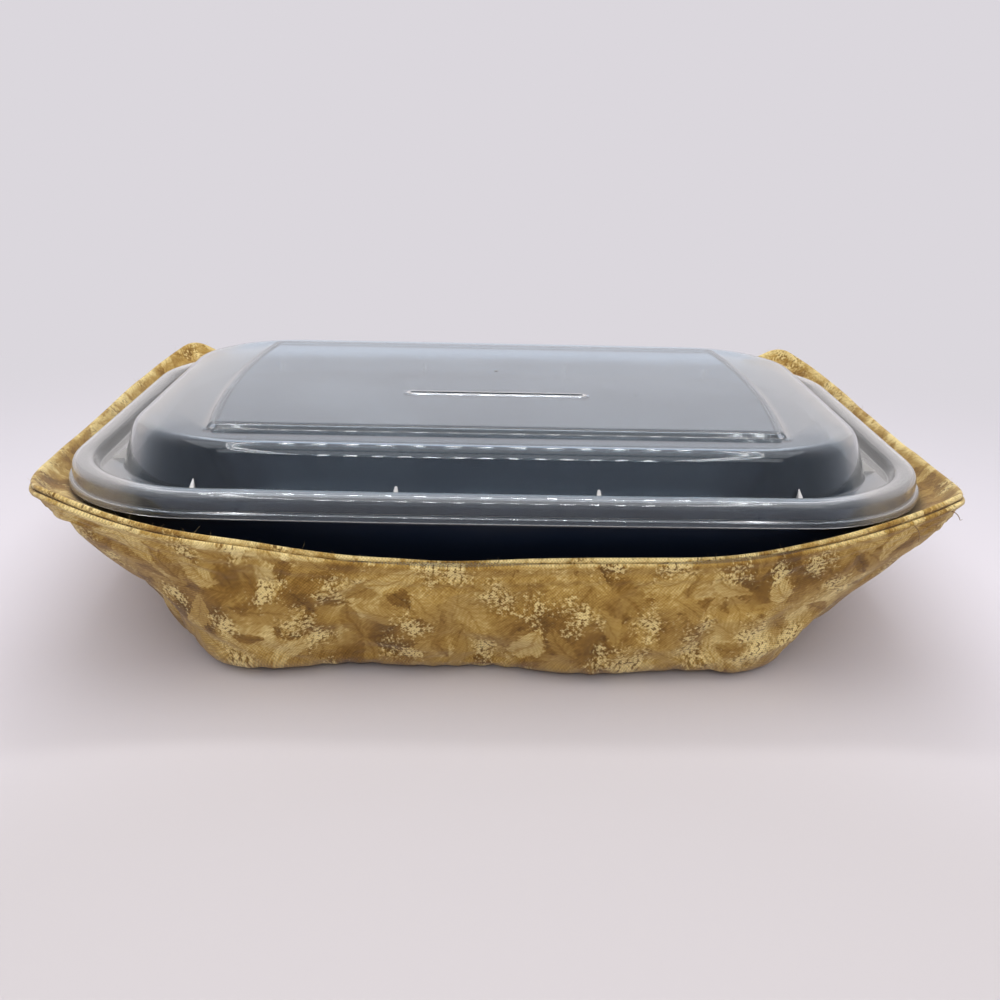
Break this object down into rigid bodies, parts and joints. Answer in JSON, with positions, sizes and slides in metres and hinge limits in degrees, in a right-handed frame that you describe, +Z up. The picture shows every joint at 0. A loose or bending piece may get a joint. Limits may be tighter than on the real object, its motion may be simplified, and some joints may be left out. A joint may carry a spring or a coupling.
{
  "type": "microwave container cozy",
  "caption": "Padded cotton cozy with upswept corner tips, shaped to carry a shallow rectangular microwave tray with a domed, vented press-on lid.",
  "frame": {"origin": "on the surface that the cozy stands on, below the middle of its base", "axes": "+X along the length to the right, -Y to the front where the steam slot lies, +Z up"},
  "size_m": [0.242, 0.1634, 0.062],
  "materials": {
    "printed_cotton": "tonal golden tan print on plain-weave cotton",
    "cotton_wadding": "unbleached needled cotton wadding",
    "black_polypropylene": "satin blue-black moulded polypropylene",
    "hazy_polypropylene": "hazy see-through moulded polypropylene"
  },
  "bodies": {
    "cozy": {"outer_cover": "printed_cotton", "outer_wadding": "cotton_wadding", "lining_wadding": "cotton_wadding", "lining": "printed_cotton"},
    "tray": {"tray": "black_polypropylene"},
    "lid": {"lid": "hazy_polypropylene"}
  },
  "joints": [
    {"name": "tray_lift", "type": "slide", "parent": "cozy", "child": "tray", "axis": [0, 0, 1], "range_m": [0, 0.08]},
    {"name": "lid_lift", "type": "slide", "parent": "tray", "child": "lid", "axis": [0, 0, 1], "range_m": [0, 0.05]}
  ]
}
